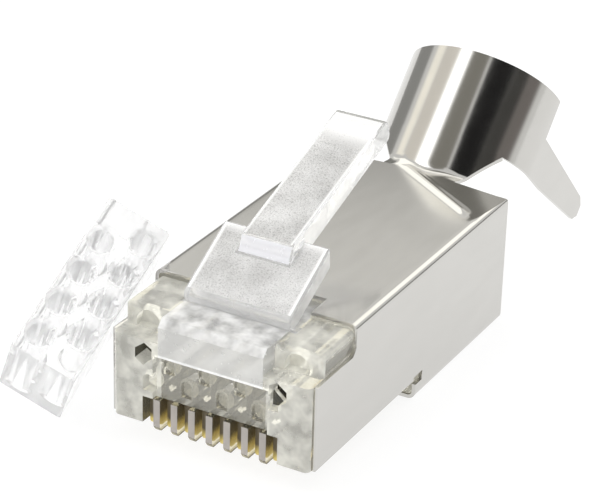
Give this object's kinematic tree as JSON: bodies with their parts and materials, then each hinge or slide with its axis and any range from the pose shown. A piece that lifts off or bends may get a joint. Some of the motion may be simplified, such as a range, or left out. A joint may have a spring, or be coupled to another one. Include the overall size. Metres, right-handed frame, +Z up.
{
  "type": "shielded modular plug",
  "caption": "Shielded modular data plug with a clear nose, a sprung locking latch, a folded metal sleeve with a tilted crimp ferrule, and a loose clear load bar beside it.",
  "frame": {"origin": "middle of the front mating face", "axes": "+X across the plug, +Y from the mating face back along the plug to the cable end, +Z up, on the latch side"},
  "size_m": [0.0178, 0.0388, 0.0134],
  "materials": {
    "clear_housing": "clear polycarbonate, glossy moulding",
    "clear_latch": "clear polycarbonate, lightly frosted",
    "clear_bar": "clear polycarbonate",
    "nickel_sheet": "nickel-plated sheet, smooth and softly reflecting",
    "gold_contact": "gold-plated"
  },
  "bodies": {
    "plug_body": {"housing": "clear_housing", "shield": "nickel_sheet", "contact_1": "gold_contact", "contact_2": "gold_contact", "contact_3": "gold_contact", "contact_4": "gold_contact", "contact_5": "gold_contact", "contact_6": "gold_contact", "contact_7": "gold_contact", "contact_8": "gold_contact", "load_bar": "clear_bar"},
    "latch": {"latch_lever": "clear_latch"}
  },
  "joints": [
    {"name": "latch_hinge", "type": "hinge", "parent": "plug_body", "child": "latch", "pos_m": [0, 0.00292, 0.00368], "axis": [-1, 0, 0], "range_deg": [0, 18], "stiffness_Nm_per_rad": 0.12}
  ]
}
